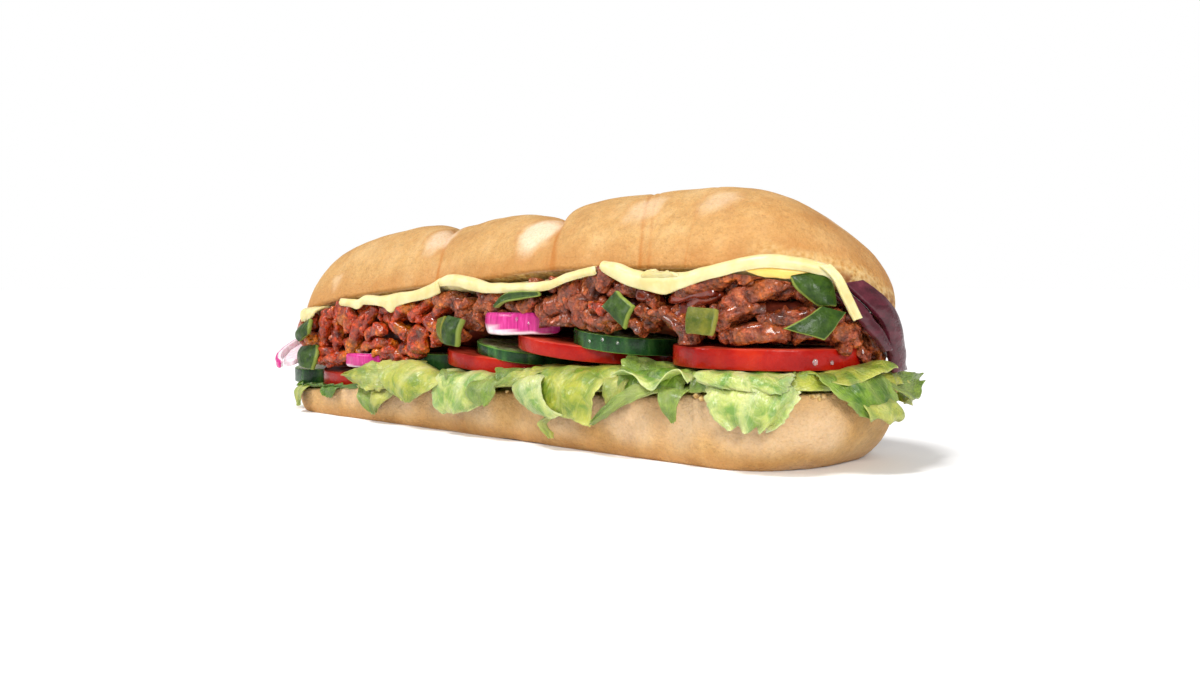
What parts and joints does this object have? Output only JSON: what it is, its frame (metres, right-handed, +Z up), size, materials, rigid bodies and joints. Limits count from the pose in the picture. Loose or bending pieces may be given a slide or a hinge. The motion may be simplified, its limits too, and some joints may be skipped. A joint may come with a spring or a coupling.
{
  "type": "submarine sandwich",
  "caption": "Long filled submarine sandwich: a roll hinged at the back, with lettuce, tomato, cucumber, onion, glazed beef strips, green pepper and sliced cheese.",
  "frame": {"origin": "middle of the roll's flat base, on the surface that it rests on", "axes": "+X along the roll towards the end nearest the camera, -Y to the open side, +Z up"},
  "size_m": [0.3104, 0.0895, 0.0891],
  "materials": {
    "bread": "soft pale-golden crust with flour patches, cream crumb",
    "lettuce": "fresh wet leaf, thin and translucent, pale rib",
    "tomato": "wet red slice with a smooth skin",
    "cucumber": "wet pale slice with a dark green skin",
    "red_onion": "wet purple-pink ring with a white inside",
    "glazed_onion": "cooked plum-coloured strip, very glossy",
    "green_pepper": "cooked dark green skin with a pale cut edge",
    "cheese": "soft sliced cheese, satin and slightly translucent",
    "glazed_beef": "crumbly cooked beef in a shiny red-brown glaze"
  },
  "bodies": {
    "root": {"roll": "bread", "leaf_near_end": "lettuce", "leaf_crinkled": "lettuce", "leaf_wavy": "lettuce", "leaf_broad": "lettuce", "leaf_pale": "lettuce", "leaf_pointed": "lettuce", "leaf_far_end": "lettuce", "tomato_near": "tomato", "tomato_middle": "tomato", "tomato_left": "tomato", "tomato_far": "tomato", "cucumber_near": "cucumber", "cucumber_middle": "cucumber", "cucumber_left": "cucumber", "cucumber_far": "cucumber", "onion_middle": "red_onion", "onion_left": "red_onion", "onion_far": "red_onion", "onion_plum": "glazed_onion", "pepper_flat": "green_pepper", "pepper_block": "green_pepper", "pepper_slant": "green_pepper", "pepper_long": "green_pepper", "pepper_left": "green_pepper", "pepper_far": "green_pepper", "pepper_behind": "green_pepper", "cheese_near": "cheese", "cheese_middle": "cheese", "cheese_far": "cheese", "beef": "glazed_beef"}
  },
  "joints": []
}
